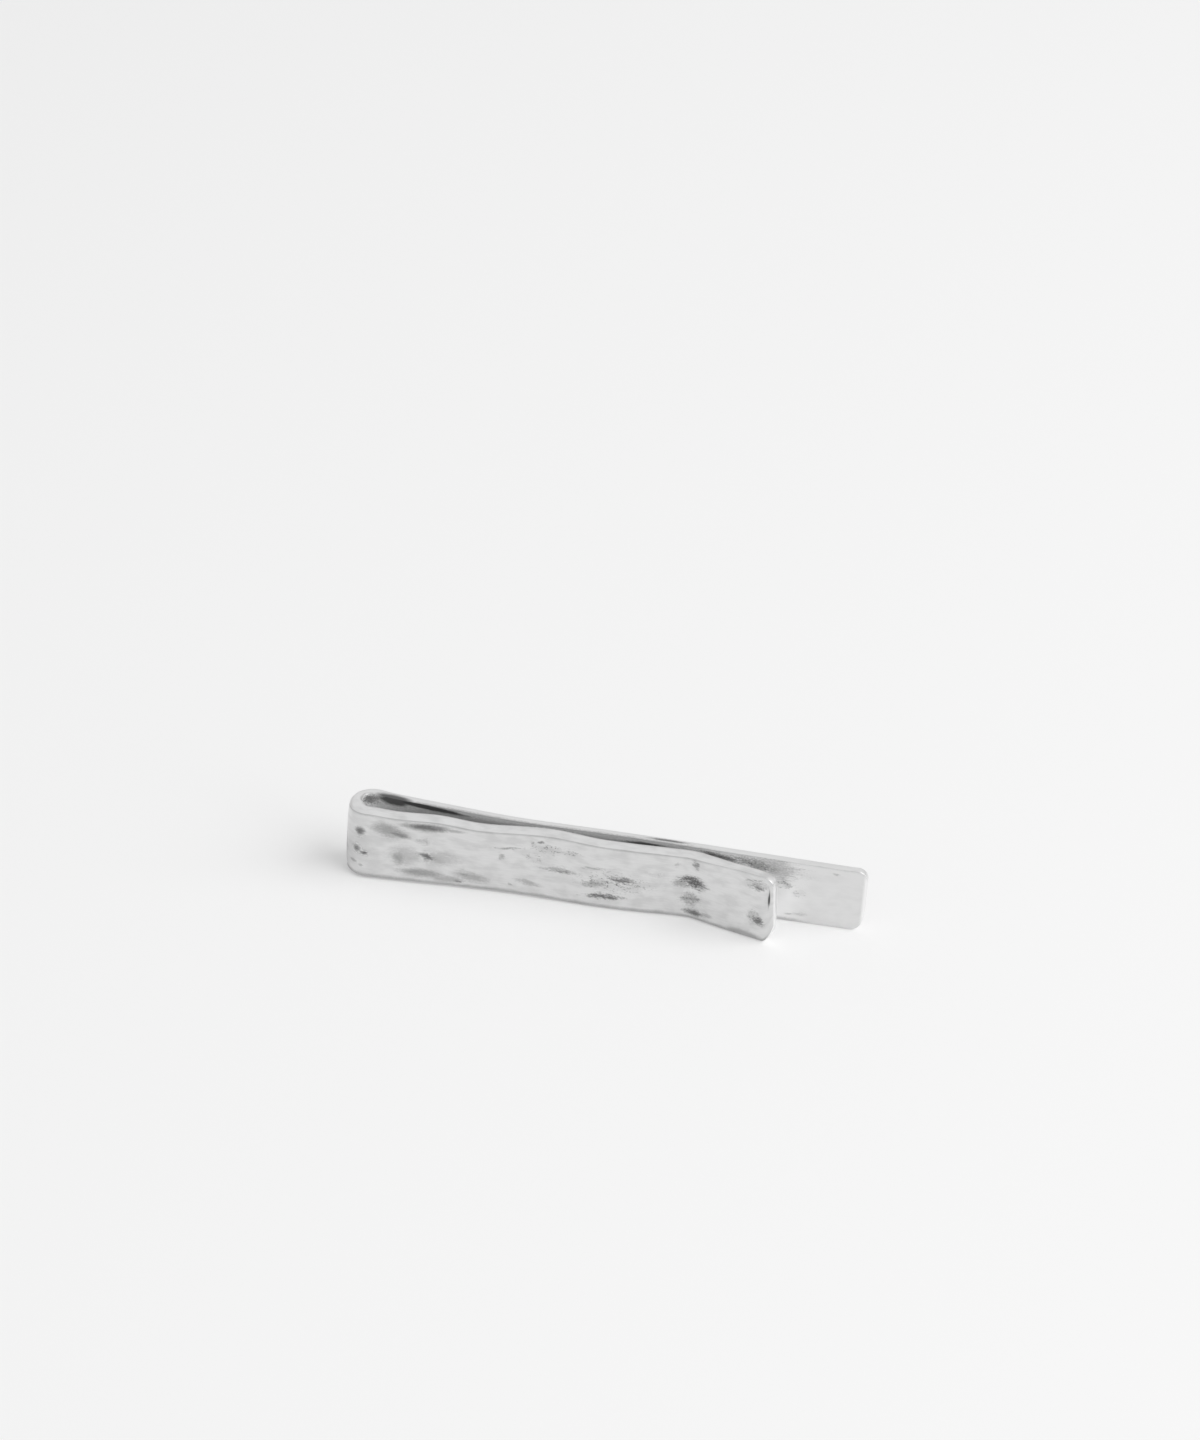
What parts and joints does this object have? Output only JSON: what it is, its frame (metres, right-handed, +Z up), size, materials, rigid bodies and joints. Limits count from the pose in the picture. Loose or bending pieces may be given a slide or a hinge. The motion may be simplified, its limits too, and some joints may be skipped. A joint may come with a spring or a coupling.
{
  "type": "tie clip",
  "caption": "Hammered metal tie clip: a flat strip folded into a hairpin, its short waved front bar sprung against a longer flat rear leg, with a flared lead-in lip.",
  "frame": {"origin": "middle of the clip's footprint, on the plane of the lower long edge that it stands on", "axes": "+X from the bend to the open end, +Y from the front bar to the rear leg, +Z up across the strip's width"},
  "size_m": [0.055, 0.0071, 0.0081],
  "materials": {
    "silver": "satin silver, hammered on the front bar, with dark patina left in the hollows"
  },
  "bodies": {
    "rear_leg": {"rear_leg": "silver", "spring_bend": "silver"},
    "front_bar": {"front_bar": "silver"}
  },
  "joints": [
    {"name": "front_flex", "type": "hinge", "parent": "rear_leg", "child": "front_bar", "pos_m": [-0.02475, 0.00088, 0.00405], "axis": [0, 0, -1], "range_deg": [-1.1, 5], "stiffness_Nm_per_rad": 1.96, "deforming": ["spring_bend"]}
  ]
}
